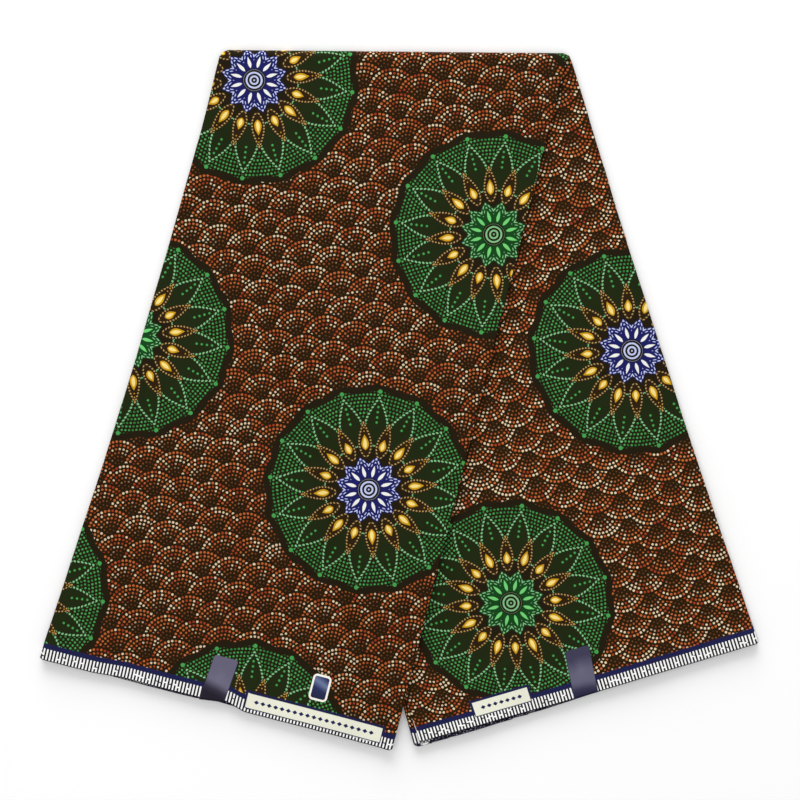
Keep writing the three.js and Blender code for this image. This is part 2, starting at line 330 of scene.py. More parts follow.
def cloth_area(flat):
    """Square metres of cloth, from its unrolled points."""
    a, b = flat[1:, 1:] - flat[:-1, :-1], flat[1:, :-1] - flat[:-1, 1:]
    return float(np.abs(a[..., 0] * b[..., 1] - a[..., 1] * b[..., 0]).sum()) / 2 * MM * MM


def smooth_shares(count):
    """Shares from side to side, closer together near the sides."""
    even = np.linspace(0, 1, count + 2)[1:-1]
    return even - 0.055 * np.sin(TAU * even)


def corner_cut(across, width):
    near = np.clip(CORNER - np.minimum(across, width - across), 0, CORNER)
    return CORNER - np.sqrt(CORNER ** 2 - near ** 2)


def wander(s, phase, size):
    """A slow uneven wave along an edge."""
    slow, middling, quick = np.sin(s / 37 + phase), np.sin(s / 15.5 + 2.3 * phase), np.sin(s / 5.1)
    return size * (0.6 * slow + 0.3 * middling + 0.1 * quick)


# ---- numbers and colours that a material's nodes work out --------------------------------------------

class Num:
    """A number worked out by nodes, with Python's arithmetic."""

    def __init__(self, tree, socket):
        self.tree, self.socket = tree, socket

    def do(self, operation, *others):
        node = self.tree.nodes.new("ShaderNodeMath")
        node.operation = operation
        for socket, value in zip(node.inputs, (self, *others)):
            if isinstance(value, Num):
                self.tree.links.new(value.socket, socket)
            else:
                socket.default_value = value
        return Num(self.tree, node.outputs[0])

    def __add__(self, other):
        return self.do("ADD", other)

    def __sub__(self, other):
        return self.do("SUBTRACT", other)

    def __rsub__(self, other):
        return self.do("MULTIPLY_ADD", -1.0, other)

    def __mul__(self, other):
        return self.do("MULTIPLY", other)

    def __truediv__(self, other):
        return self.do("DIVIDE", other)

    __radd__ = __add__
    __rmul__ = __mul__

    def fract(self):
        return self.do("FRACT")

    def floor(self):
        return self.do("FLOOR")

    def round(self):
        return self.do("ROUND")

    def abs(self):
        return self.do("ABSOLUTE")

    def least(self, other):
        return self.do("MINIMUM", other)

    def most(self, other):
        return self.do("MAXIMUM", other)

    def less(self, other):
        return self.do("LESS_THAN", other)


def hypot(a, b):
    return a.do("MULTIPLY_ADD", a, b * b).do("SQRT")


def centred(value, pitch):
    """value's distance from the nearest multiple of pitch."""
    return ((value / pitch + 0.5).fract() - 0.5) * pitch


INK_EDGE = 0.12         # mm over which a printed shape's edge fades
COLOUR_A, COLOUR_B = 6, 7                      # the colour sockets of a Mix node


def below(value, limit, soft=INK_EDGE):
    """1 where value is under the limit, fading to 0 over it."""
    node = value.tree.nodes.new("ShaderNodeMapRange")
    node.interpolation_type = "SMOOTHSTEP"
    value.tree.links.new(value.socket, node.inputs["Value"])
    ends = {"From Min": (limit, -soft), "From Max": (limit, soft)}
    for name, (middle, step) in ends.items():
        if isinstance(middle, Num):
            value.tree.links.new((middle + step).socket, node.inputs[name])
        else:
            node.inputs[name].default_value = middle + step
    node.inputs["To Min"].default_value = 1
    node.inputs["To Max"].default_value = 0
    return Num(value.tree, node.outputs["Result"])


def linear(rgb):
    """A colour given as 0 to 255 on the screen, as the shader takes it."""
    c = np.array(rgb) / 255
    return (*np.where(c <= 0.04045, c / 12.92, ((c + 0.055) / 1.055) ** 2.4), 1.0)


class Ink:
    """A material whose colour is painted on, layer over layer."""

    def __init__(self, name, base, uv_map):
        self.material = bpy.data.materials.new(name)
        self.material.use_nodes = True
        self.tree = self.material.node_tree
        self.shader = self.tree.nodes["Principled BSDF"]
        self.colour = linear(base)
        self.x, self.y = self.coordinates(uv_map)

    def new(self, kind, **settings):
        node = self.tree.nodes.new("ShaderNode" + kind)
        for key, value in settings.items():
            setattr(node, key, value)
        return node

    def coordinates(self, uv_map):
        uv = self.new("UVMap", uv_map=uv_map)
        apart = self.new("SeparateXYZ")
        self.tree.links.new(uv.outputs[0], apart.inputs[0])
        return Num(self.tree, apart.outputs[0]), Num(self.tree, apart.outputs[1])

    def put(self, socket, value):
        if isinstance(value, Num):
            self.tree.links.new(value.socket, socket)
        elif isinstance(value, bpy.types.NodeSocket):
            self.tree.links.new(value, socket)
        else:
            socket.default_value = value

    def vector(self, *values):
        node = self.new("CombineXYZ")
        for socket, value in zip(node.inputs, values):
            self.put(socket, value)
        return node.outputs[0]

    def noise(self, pitch, detail=2.0, seed=0.0, stretch=1.0, x=None, y=None):
        """Soft noise from 0 to 1, with lumps about pitch mm across."""
        x, y = (x or self.x), (y or self.y)
        node = self.new("TexNoise")
        self.put(node.inputs["Vector"], self.vector(x / pitch, y / (pitch * stretch), seed))
        node.inputs["Scale"].default_value = 1.0
        node.inputs["Detail"].default_value = detail
        return Num(self.tree, node.outputs["Fac"])

    def chance(self, *values):
        """An even random number for each set of whole numbers."""
        node = self.new("TexWhiteNoise")
        self.put(node.inputs["Vector"], self.vector(*values))
        return Num(self.tree, node.outputs["Value"])

    def blend(self, under, mask, over):
        node = self.new("Mix", data_type="RGBA")
        for socket, value in (("Factor", mask), (COLOUR_A, under), (COLOUR_B, over)):
            self.put(node.inputs[socket], value)
        return node.outputs[2]

    def paint(self, mask, rgb):
        """Paints over what is there. rgb is a screen colour or a colour socket."""
        over = rgb if isinstance(rgb, bpy.types.NodeSocket) else linear(rgb)
        self.colour = self.blend(self.colour, mask, over)

    def shade(self, factor):
        """Multiplies the colour by a number."""
        node = self.new("Mix", data_type="RGBA", blend_type="MULTIPLY")
        node.inputs["Factor"].default_value = 1
        grey = self.vector(factor, factor, factor)
        self.put(node.inputs[COLOUR_A], self.colour)
        self.put(node.inputs[COLOUR_B], grey)
        self.colour = node.outputs[2]

    def bump(self, height, distance, strength=1.0):
        node = self.new("Bump")
        node.inputs["Strength"].default_value = strength
        node.inputs["Distance"].default_value = distance * MM
        self.put(node.inputs["Height"], height)
        self.put(self.shader.inputs["Normal"], node.outputs[0])

    def done(self, roughness, specular):
        self.put(self.shader.inputs["Base Color"], self.colour)
        self.put(self.shader.inputs["Roughness"], roughness)
        self.put(self.shader.inputs["Specular IOR Level"], specular)
        return self.material


# ---- the print: round flowers on a ground of dotted scales -------------------------------------------

SCALE = {"radius": 22.0, "rise": 11.0, "rim": 1.5}     # overlapping scales of the ground
DOT = {"pitch": 3.2, "small": 0.62, "large": 1.12}
LATTICE = {"across": 320.0, "up": 360.0}        # the flowers' half-drop repeat
FLOWER = {"edge": 86.5, "scallop": 2.6, "petals": 16}
LACE = {"inner": 60.5, "margin": 5.5, "pitch": 3.1, "size": 0.92}
STAR = {"rays": 12, "reach": 28.5, "notch": 2.1, "hem": 1.7, "apart": 3.1, "pitch": 2.5}
EYE = {"edge": 10, "rings": 9, "pitch": 3.2, "line": 0.75}

# Pointed shapes round a flower's middle: where they start and end, and half their width
FOLIAGE = {"inner": 36, "outer": 82, "half": 11.5}
PETAL = {"inner": 26, "outer": 61, "half": 6.6}
DROP = {"inner": 33.5, "outer": 47.5, "half": 3.4}
DROP_SHORTER = 3                                # every other gold drop, by so much
DART = {"inner": 10.5, "outer": 21.5, "half": 1.7}
BLUNTNESS, TRIM = 0.72, 0.3                     # of those shapes' points, and what their outlines lose

# The dots along their outlines, and those down their middles
FOLIAGE_DOTS = {"inset": 1.7, "pitch": 2.9, "size": 0.95}
PETAL_DOTS = {"inset": 1.3, "pitch": 2.6, "size": 0.72}
FOLIAGE_VEIN = {"pitch": 4.4, "size": 1.0, "middle": 64, "reach": 9.5}
PETAL_VEIN = {"pitch": 3.3, "size": 0.6, "middle": 53, "reach": 4}
FOLIAGE_TIP = {"at": 83.6, "size": 1.8}

BROWN_BLACK, GROUND, DARK_GROUND = (30, 23, 9), (42, 25, 4), (28, 18, 4)
ORANGE, CREAM, RUST, DIM = (176, 92, 46), (212, 190, 156), (146, 54, 28), (88, 52, 24)
GREEN, PALE_GREEN, DEEP_GREEN, OLIVE = (66, 150, 74), (124, 184, 128), (28, 37, 12), (42, 28, 10)
GOLD, PALE_GOLD, OCHRE, TAN = (196, 146, 20), (236, 214, 130), (186, 134, 36), (172, 142, 88)
NAVY, SEED_BLUE, WHITE = (26, 28, 92), (188, 196, 232), (232, 232, 226)
LACE_GREEN, STAR_GREEN, DART_GREEN = (44, 118, 56), (18, 66, 24), (110, 200, 112)


def polar(dx, dy):
    """Distance, and turn as a share of a full turn."""
    return hypot(dx, dy), dy.do("ARCTAN2", dx) / TAU + 0.5


def ring_dots(d, turn, pitch, size):
    """Dots on rings that are pitch apart. Also the ring's number and the dot's number on it."""
    ring = (d / pitch).round()
    count = (ring * TAU).round()
    arc = ((turn * count).fract() - 0.5) * ring * (TAU * pitch) / count
    return below(hypot(arc, d - ring * pitch), size), ring, (turn * count).floor()


def topmost_scale(x, y):
    """Distance and turn about the middle of the topmost scale at a point, and the scale's number."""
    radius, rise = SCALE["radius"], SCALE["rise"]
    first = (y / rise).do("CEIL") - 2
    dx = dy = number = 0
    left = None
    for step in range(3):
        row = first + step
        shift = (row * 0.5).fract() * (2 * radius)
        off_x = centred(x - shift, 2 * radius)
        off_y = y - row * rise
        here = hypot(off_x, off_y).less(radius) if step < 2 else None
        take = here if left is None else (left if here is None else left * here)
        dx, dy = dx + off_x * take, dy + off_y * take
        column = ((x - shift) / (2 * radius)).round()
        number = number + (row * 7 + column * 3) * take
        left = (1 - here) if left is None else (left - take)
    return (*polar(dx, dy), number)


def paint_ground(ink, x, y):
    """Dots on scales. The back leg's are paler."""
    radius = SCALE["radius"]
    a, _ = ink.coordinates("hem")
    back = below(HEM_APART - 10 - a, 0, 1)
    d, turn, number = topmost_scale(x, y)
    outward = d / radius
    size = DOT["small"] + outward * (DOT["large"] - DOT["small"])
    dots, ring, place = ring_dots(d, turn, DOT["pitch"], size)
    dots = dots * below(d, radius - SCALE["rim"], 0.2)
    pick = ink.chance(ring, place, number)
    patch = ink.noise(46, 2, 3.1, x=x, y=y)
    glow = (ink.noise(2.4, 1, 7.0, x=x, y=y) - 0.5) * 0.4
    tint = ink.blend(linear(ORANGE), below(pick + patch * 0.5, 0.42, 0.02), linear(RUST))
    bright = below(pick + (patch - 0.5) * 0.7 + outward * 0.2 + back * 0.05, 0.84, 0.03)
    tint = ink.blend(linear(CREAM), bright, tint)
    tint = ink.blend(linear(DIM), below((1 - outward) + glow, 0.6, 0.3), tint)
    ink.paint(dots, tint)
    ink.shade(back * 0.12 + 1)


def wedge(turn, count, shift=0.0):
    """The angle from the middle line of the nearest of count equal wedges."""
    return ((turn * count + shift).fract() - 0.5) * (TAU / count)


def petal_margin(d, bend, inner, outer, half):
    """How far inside a pointed shape's outline a point is, how far along it, and how far to its side."""
    along = d * bend.do("COSINE")
    side = (d * bend.do("SINE")).abs()
    share = ((along - inner) / (outer - inner)).most(0).least(1)
    profile = (share.do("POWER", BLUNTNESS) * pi).do("SINE") * half
    return profile - side - TRIM, along, side


def within(margin, inset=0):
    """1 where a point is further inside an outline than the inset."""
    return below(inset - margin, 0)


def outline_dots(margin, along, inset, pitch, size):
    return below(hypot(margin - inset, centred(along, pitch)), size)


def vein_dots(along, side, pitch, size, middle, reach):
    return below(hypot(side, centred(along, pitch)), size) * below((along - middle).abs(), reach)


def paint_lace(ink, d, turn, edge):
    """Rings of green dots behind the foliage."""
    dots, ring, place = ring_dots(d, turn, LACE["pitch"], LACE["size"])
    mask = dots * below(d, edge - LACE["margin"]) * below(LACE["inner"] - d, 0)
    pick = ink.chance(ring, place, 3.0)
    ink.paint(mask, ink.blend(linear(GREEN), below(pick, 0.4, 0.2), linear(LACE_GREEN)))


def paint_foliage(ink, d, bend):
    """Pointed green leaves behind the petals, with a dot at each tip."""
    margin, along, side = petal_margin(d, bend, **FOLIAGE)
    ink.paint(within(margin), DEEP_GREEN)
    ink.paint(outline_dots(margin, along, **FOLIAGE_DOTS), PALE_GREEN)
    ink.paint(vein_dots(along, side, **FOLIAGE_VEIN), GREEN)
    ink.paint(below(hypot(d * bend.do("SINE"), d - FOLIAGE_TIP["at"]), FOLIAGE_TIP["size"]), GREEN)


def paint_petals(ink, d, turn, bend):
    """Ochre petals, each with a gold drop. Every other drop is shorter."""
    margin, along, side = petal_margin(d, bend, **PETAL)
    ink.paint(within(margin), OLIVE)
    ink.paint(outline_dots(margin, along, **PETAL_DOTS), TAN)
    ink.paint(vein_dots(along, side, **PETAL_VEIN), OCHRE)
    shorter = (turn * (FLOWER["petals"] / 2)).fract().less(0.5) * DROP_SHORTER
    margin, _, _ = petal_margin(d, bend, DROP["inner"], DROP["outer"] - shorter, DROP["half"])
    for tint, inset in ((GOLD, 0), (PALE_GOLD, 1.5)):
        ink.paint(within(margin, inset), tint)


def paint_star(ink, d, turn, kind):
    """A rayed star with two lines of seeds along its edge, a pale dart in each ray and a ringed eye."""
    bend = wedge(turn, STAR["rays"], 0.5)
    edge = STAR["reach"] - bend.abs() * (STAR["rays"] * STAR["notch"])
    ink.paint(below(d, edge), ink.blend(linear(NAVY), kind, linear(STAR_GREEN)))
    seeds = ink.blend(linear(SEED_BLUE), kind, linear(PALE_GREEN))
    hem = edge - STAR["hem"]
    beside = centred(d * bend, STAR["pitch"])
    ink.paint(below(hypot(d - hem, beside), 0.85), seeds)
    ink.paint(below(hypot(d - hem + STAR["apart"], beside), 0.7), seeds)
    margin, _, _ = petal_margin(d, bend, **DART)
    ink.paint(within(margin), ink.blend(linear(WHITE), kind, linear(DART_GREEN)))
    ink.paint(below(d, EYE["edge"]), BROWN_BLACK)
    ink.paint(below(centred(d, EYE["pitch"]).abs(), EYE["line"]) * below(d, EYE["rings"]), seeds)


def paint_flower(ink, dx, dy, kind):
    """A round flower with a scalloped edge. kind is 0 for a navy star and 1 for a green one."""
    d, turn = polar(dx, dy)
    count = FLOWER["petals"]
    bend, between = wedge(turn, count), wedge(turn, count, 0.5)
    edge = (between * (count / 2)).do("COSINE") * FLOWER["scallop"] + FLOWER["edge"]
    ink.paint(below(d, edge), BROWN_BLACK)
    paint_lace(ink, d, turn, edge)
    paint_foliage(ink, d, between)
    paint_petals(ink, d, turn, bend)
    paint_star(ink, d, turn, kind)


def paint_flowers(ink, x, y):
    """Flowers on a half-drop lattice, the two kinds in turn."""
    across, up = LATTICE["across"], LATTICE["up"]
    ax, ay = centred(x, across), centred(y, up)
    bx, by = centred(x - across / 2, across), centred(y - up / 2, up)
    second = hypot(bx, by).less(hypot(ax, ay))
    paint_flower(ink, ax + (bx - ax) * second, ay + (by - ay) * second, second)


# ---- the selvedge: bars, a navy band and a bare cartouche --------------------------------------------

BARS = {"from": 0.7, "to": 9.7, "pitch": 2.9, "width": 1.4}
BAND = {"from": 9.7, "to": 13.9}
# Where a cartouche lies along each leg's lower edge, in the hem's own coordinates
CARTOUCHES = [
    {"from": 179.5, "to": 297.6, "low": 4.2, "high": 16.3},
    {"from": 395.0, "to": 445.5, "low": 8.4, "high": 20.6},
]
HEM_APART = 341.0      # the back leg's hem is this much further along in the hem's coordinates
FRAYED = {"from": 16.0, "ends": -1.2}          # the lower plies' hem, where it shows
LOZENGE = {"pitch": 5.6, "size": 1.8, "margin": 5}
PALE_LINE = {"at": 0.35, "half": 0.5, "up": 14.5, "reach": 5}   # a pale line at the left side of the back leg's upper ply, beside the notch
HEM_BLACK, HEM_NAVY, HEM_WHITE = (17, 15, 26), (27, 29, 70), (240, 240, 238)
BOX_CREAM, LOZENGE_NAVY, PALE_LINE_TONE = (224, 224, 206), (30, 33, 78), (222, 212, 216)
FRAY_PALE, FRAY_GREY = (150, 146, 172), (104, 102, 116)


def paint_bars(ink, a, b):
    """White bars, some of them cut and some joined to the next."""
    pitch = BARS["pitch"]
    column, gap = (a / pitch).round(), (a / pitch).floor()
    bar = below(centred(a, pitch).abs(), BARS["width"] / 2, 0.1)
    cut = below((b - ink.chance(column, 4.0, 0.0) * 3 - 3.2).abs(), 0.45, 0.1)
    cut = cut * ink.chance(column, 6.0, 0.0).less(0.24)
    bridge = below((b - ink.chance(gap, 9.0, 0.0) * 2.4 - 3.4).abs(), 0.6, 0.1)
    bridge = bridge * ink.chance(gap, 2.0, 1.0).less(0.34)
    middle, half = (BARS["from"] + BARS["to"]) / 2, (BARS["to"] - BARS["from"]) / 2
    white = (bar * (1 - cut)).most(bridge) * below((b - middle).abs(), half, 0.15)
    ink.paint(white, HEM_WHITE)


def paint_hem(ink, cartouches):
    a, b = ink.coordinates("hem")
    ink.paint(below(b, BAND["to"]), HEM_NAVY)
    ink.paint(below(b, BAND["from"]), HEM_BLACK)
    paint_bars(ink, a, b)
    for box in cartouches:
        middle, half = (box["from"] + box["to"]) / 2, (box["to"] - box["from"]) / 2
        centre, tall = (box["low"] + box["high"]) / 2, (box["high"] - box["low"]) / 2
        inner = ((a - middle).abs() - half).most((b - centre).abs() - tall)
        ink.paint(below(inner, 2.1) * below(-1 * b, -BARS["to"]), HEM_NAVY)
        ink.paint(below(inner, 0.8), HEM_NAVY)
        ink.paint(below(inner, 0), BOX_CREAM)
        lozenge = centred(a - middle, LOZENGE["pitch"]).abs() * 0.8 + (b - centre).abs()
        row = below((a - middle).abs(), half - LOZENGE["margin"])
        ink.paint(below(lozenge, LOZENGE["size"]) * row, LOZENGE_NAVY)
    return a, b


THREADS = 0.42          # mm that two neighbouring threads take up
CLOTH_SPECULAR = 0.05


def bump_weave(ink):
    """A plain weave, its threads over and under, with slubs."""
    over = (ink.x * (TAU / THREADS)).do("SINE") * (ink.y * (TAU / THREADS)).do("SINE")
    ink.bump(over * 0.5 + 0.5 + ink.noise(1.3, 2, 14.0) * 1.2, 0.05, 0.5)


def print_material():
    ink = Ink("wax_print", GROUND, "print")
    bleed = 0.45
    x = ink.x + (ink.noise(3.6, 2, 1.0) - 0.5) * bleed
    y = ink.y + (ink.noise(3.6, 2, 2.0) - 0.5) * bleed
    ink.paint(ink.noise(9, 3, 5.0), DARK_GROUND)
    paint_ground(ink, x, y)
    paint_flowers(ink, x, y)
    a, b = paint_hem(ink, CARTOUCHES)
    pale_line = below((a - HEM_APART - PALE_LINE["at"]).abs(), PALE_LINE["half"], 0.15)
    ink.paint(pale_line * below((b - PALE_LINE["up"]).abs(), PALE_LINE["reach"], 1.5), PALE_LINE_TONE)
    ink.shade(0.86 + ink.noise(30, 3, 11.0) * 0.2 + (ink.noise(0.5, 1, 12.0) - 0.5) * 0.22)
    bump_weave(ink)
    return ink.done(0.58 + ink.noise(24, 3, 17.0) * 0.2, CLOTH_SPECULAR)


def leaf_material():
    """The same cotton at its folds, where only the dotted ground shows."""
    ink = Ink("ply_folds", GROUND, "print")
    paint_ground(ink, ink.x, ink.y)
    a, b = paint_hem(ink, [])
    frayed = ink.noise(1.3, 2, 8.0, x=a, y=b)
    ink.paint(below(b, 3.4, 0.5) * below(HEM_APART + FRAYED["from"] - a, 0, 2), HEM_BLACK)
    ink.paint(below(b, 1.6, 0.8) * below(0.6 - frayed, 0, 0.03), FRAY_PALE)
    corner = below((a - HEM_APART - 8.5).abs(), 3, 1.5) * below((b + 0.8).abs(), 1.1, 0.6)
    ink.paint(corner * below(0.42 - frayed, 0, 0.06), HEM_WHITE)
    ends = below(centred(a + frayed * 4, 2.3).abs(), 0.4, 0.2) * below(b, FRAYED["ends"], 0.2)
    ink.paint(ends * below(ink.noise(5, 2, 3.0, x=a, y=b), 0.55, 0.1), FRAY_GREY)
    ink.shade(0.74 + ink.noise(12, 3, 11.0) * 0.3)
    bump_weave(ink)
    return ink.done(0.8, CLOTH_SPECULAR)


# The three tones of each label's film, from its top down, and how high and how slanted the foot's edge is
LABEL_TONES = {
    "front": {
        "top": (92, 88, 110), "middle": (96, 92, 114), "foot": (22, 15, 32), "foot_edge": 15, "slope": 0.33,
    },
    "back": {
        "top": (54, 52, 76), "middle": (88, 87, 108), "foot": (28, 27, 58), "foot_edge": 9, "slope": 0.1,
    },
}
# The first colour is that of a painted highlight on the labels' film
PAINTED_HIGHLIGHT_LILAC, LABEL_EDGE = (116, 114, 134), (44, 40, 64)
STICKER_CREAM, STICKER_NAVY = (236, 233, 222), (26, 34, 84)
# The first colour is that of a painted reflection on the sticker's film
STICKER_REFLECTION, STICKER_DARK = (104, 120, 156), (16, 22, 58)


def label_material(name, top, middle, foot, foot_edge, slope):
    """Glossy plain film: dark at its foot, lilac grey in the middle with a painted highlight there, and its
    top another tone.
    """
    ink = Ink(name, top, "label")
    soft = (ink.noise(14, 2, 2.0, 2.0) - 0.5) * 6
    ink.paint(below(ink.y + soft, 27, 8), middle)
    # A painted highlight: a soft paler lilac patch in the middle of the film
    ink.paint(below(ink.x.abs(), 3, 4) * below((ink.y + soft - 22).abs(), 4, 9) * 0.25, PAINTED_HIGHLIGHT_LILAC)
    slanted = ink.y + ink.x * slope + soft * 0.4
    ink.paint(below(slanted, foot_edge, 4.5) * 0.8, foot)
    ink.paint(below(slanted, foot_edge - 4.5, 4), foot)
    ink.paint(below(LABEL["width"] / 2 - 0.4 - ink.x.abs(), 0, 0.2), LABEL_EDGE)
    ink.bump(ink.noise(5, 2, 4.0) + ink.noise(1.2, 2, 6.0) * 0.15, 0.12, 0.4)
    return ink.done(0.3 + ink.noise(6, 3, 9.0) * 0.16, 0.1)


def sticker_material(width, length, corner):
    """Glossy plain film: navy with a painted reflection as a paler slanted band, darker towards its lower
    end, inside a cream rim.
    """
    ink = Ink("sticker_film", STICKER_CREAM, "label")
    dx = (ink.x.abs() - (width / 2 - corner)).most(0)
    dy = (ink.y.abs() - (length / 2 - corner)).most(0)
    flat = (ink.x.abs() - width / 2).most(ink.y.abs() - length / 2)
    round_in = hypot(dx, dy) - corner
    inner = round_in.most(flat)
    # A painted reflection: a paler band slanting across the navy film
    band = below((ink.y + ink.x * 0.4 - 4).abs(), 2.2, 4.5)
    field = ink.blend(linear(STICKER_NAVY), band, linear(STICKER_REFLECTION))
    field = ink.blend(field, below(ink.y, -4, 6), linear(STICKER_DARK))
    ink.paint(below(inner, -1.7, 0.15), field)
    ink.bump(ink.noise(4, 2, 4.0), 0.1, 0.3)
    return ink.done(0.3 + ink.noise(5, 2, 9.0) * 0.12, 0.12)


# ---- the plies ---------------------------------------------------------------------------------------

FACE_COLUMNS = 132
COARSE, FINE = 9.0, 2.9                                # mm between rows: unseen, and seen from above
FOLD_ROWS = 16
PRINTS = {
    "outer": {"angle": -15.5, "shift": (46.0, 66.0)},
    "inner": {"angle": 16.2, "shift": (-40.0, 150.0)},
}
DENT = {"from": 43.0, "to": 165.0, "depth": 2.2}       # in the front leg's end, left of its label
FRINGE = {"reach": 95.0, "fade": 70.0, "beyond": 1.0, "hem": 1.6}   # the lower plies' ends that show
HOLD = {"in": 0.55, "ease": 0.25}                      # past a label's turn, and its easing beside it


def held(leg, across, width, up):
    """Under a label the plies' ends are held in."""
    place = LABEL_PLACES[leg]
    off = across - place["across"] * width
    half = LABEL["width"] / 2 + 1
    beside = np.clip(np.abs(off) - half, 0, None)
    hold = place["end"] + HOLD["in"] + place["tilt"] * np.clip(off, -half, half)
    return np.maximum(up, hold - HOLD["ease"] * beside)


def outer_ragged(leg, across, width, from_end):
    side = np.where(across < width / 2, 1, -1)
    beside = np.where(side > 0, -0.7, 0.1) + wander(from_end + 40 * side, 0.7, 0.35)
    inward = side * beside * smooth(from_end / 20)
    if leg == "back":
        return inward * 0.4, held(leg, across, width, corner_cut(across, width))
    dent = smooth((across - DENT["from"]) / 34) * smooth((DENT["to"] - across) / 9)
    up = corner_cut(across, width) + DENT["depth"] * dent + wander(across, 1.9, 0.3) - 0.4
    return inward, held(leg, across, width, up)


def inner_ragged(leg, across, width, from_end):
    side = np.where(across < width / 2, 1, -1)
    inward = side * (0.4 + wander(from_end - 30 * side, 2.1, 0.35))
    up = corner_cut(across, width) + wander(across, 0.4, 0.35) + 0.3
    if leg == "back":
        near = smooth(1 - from_end / SHORT["side_reach"])
        left = smooth(1 - across / (width / 2))
        inward = inward + SHORT["side"] * near * left
        up = up + SHORT["end"] * smooth(1 - across / SHORT["end_reach"])
    return inward, held(leg, across, width, up)


def shown_ply(name, ragged, turned_over, prints, material):
    """One ply from selvedge to selvedge. It is turned over where it lies on the inside of the fold."""
    columns = shown_columns(FACE_COLUMNS)
    if turned_over:
        columns[:, 3] = LEG - columns[:, 3]
    rows = strip_rows(*((COARSE, FOLD_ROWS, FINE) if turned_over else (FINE, FOLD_ROWS, COARSE)))
    place, flat, hem = sweep(rows, columns, ragged)
    hem[..., 0] += HEM_APART * (rows[:, None] > 1.5)
    faces = grid_faces(len(rows), len(columns))
    if turned_over:
        faces = [face[::-1] for face in faces]
    uvs = {"print": print_place(flat, **prints), "hem": hem}
    piece = mesh_piece(name, place, faces, uvs, material)
    thicken(piece, SHEET * MM)
    cloth_area(flat)
    return piece


def leaf_columns(number, shares):
    """A flattened tube's section: its upper face, a round side, its lower face and a round side."""
    room = (LEG - 4 * TURN) / LEAVES
    top = 2 * TURN + number * room + LEAF_GAP
    half = room / 2 - LEAF_GAP
    upper = [(u, 0, 0, top) for u in shares]
    angles = np.linspace(0, pi, 6)
    right = [(1, half * (np.sin(a) - 1), half * a, top + half * (1 - np.cos(a))) for a in angles]
    lower = [(u, 0, 0, top + 2 * half) for u in shares[::-1]]
    left = [(0, -off, -unrolled, depth) for _, off, unrolled, depth in right[::-1]]
    return np.array(upper + right + lower + left, float)


def leaf_ragged(number):
    """Each leaf's sides and ends lie a little differently, and its corners are soft."""
    def ragged(leg, across, width, from_end):
        side = np.where(across < width / 2, 1, -1)
        phase = 1.7 * number + side * 0.8 + (leg == "back") * 2.9
        inward = side * (0.9 + 0.5 * np.sin(phase) + wander(from_end, phase, 0.6))
        up = 1.2 + 0.9 * np.sin(2.3 * number + 1) + wander(across, phase, 0.7)
        if leg == "back":
            loose = smooth(1 - (across - FRINGE["reach"]) / FRINGE["fade"])
            teeth = 0.4 * np.sin(across * 1.13 + 2 * np.sin(across / 6.1))
            teeth = teeth + 0.3 * np.sin(across / 2.3 + 2 * phase)
            up = up * (1 - loose) + loose * (teeth - FRINGE["beyond"] + 0.15 * (LEAVES - 1 - number))
        return inward, held(leg, across, width, up + corner_cut(across, width) * 0.8)
    return ragged


def leaf(number, material):
    """A folded pair of plies as one closed solid. The last one's end shows beside the back leg's short
    upper ply, so it has finer columns for its fringe."""
    if number == LEAVES - 1:
        shares = np.linspace(0, 1, FACE_COLUMNS)[1:-1] ** 1.3
        rows = strip_rows(7.0, 12, 5.2)
    else:
        shares = smooth_shares(46)
        rows = strip_rows(4.6, 12, 4.6)
    columns = leaf_columns(number, shares)
    place, flat, hem = sweep(rows, columns, leaf_ragged(number))
    hem += np.array([HEM_APART, -FRINGE["hem"]]) * (rows[:, None, None] > 1.5)
    count = len(columns)
    faces = grid_faces(len(rows), count, closed=True)
    last = (len(rows) - 1) * count
    faces.append(list(range(count))[::-1])
    faces.append([last + k for k in range(count)])
    shift = (31.0 * number, 17.0 * number)
    uvs = {"print": print_place(flat, PRINTS["outer"]["angle"], shift), "hem": hem}
    piece = mesh_piece(f"cloth_leaf_{number + 1}", place, faces, uvs, material)
    piece.data.set_sharp_from_angle(angle=SHARP)
    cloth_area(flat) / 2
    return piece


# ---- the labels and the sticker ----------------------------------------------------------------------

LABEL = {"width": 21.4, "upper": 40.5, "lower": 10.0, "wall": 0.25, "corner": 3.0, "lift": 0.3}
LABEL_TURN = {"over": 2.2, "under": 0.9, "drop": 1.3, "sag": 0.35}   # how it goes round the cloth's end
LABEL_PLACES = {
    "front": {"across": 0.4865, "lean": 0.082, "end": 1.9, "tilt": 0.14},
    "back": {"across": 0.4975, "lean": 0.096, "end": -0.2, "tilt": 0.0},
}
STICKER = {"width": 16.0, "length": 21.6, "wall": 0.25, "corner": 3.2, "lift": 0.25, "arch": 0.07}
STICKER_PLACE = {"across": 0.766, "from_end": 35.6}


def on_leg(leg, across, local_x, local_y):
    """Plan points given along a leg's lower edge and up from it."""
    start, along, normal = end_frame(leg)
    foot = start + (ENDS[leg][1] - start) * across
    return foot + local_x[..., None] * along + local_y[..., None] * normal


def cloth_top(leg, plan, from_end):
    depth = 0 if leg == "front" else LEG
    return leg_height(leg, plan[..., 0], plan[..., 1], depth, from_end)


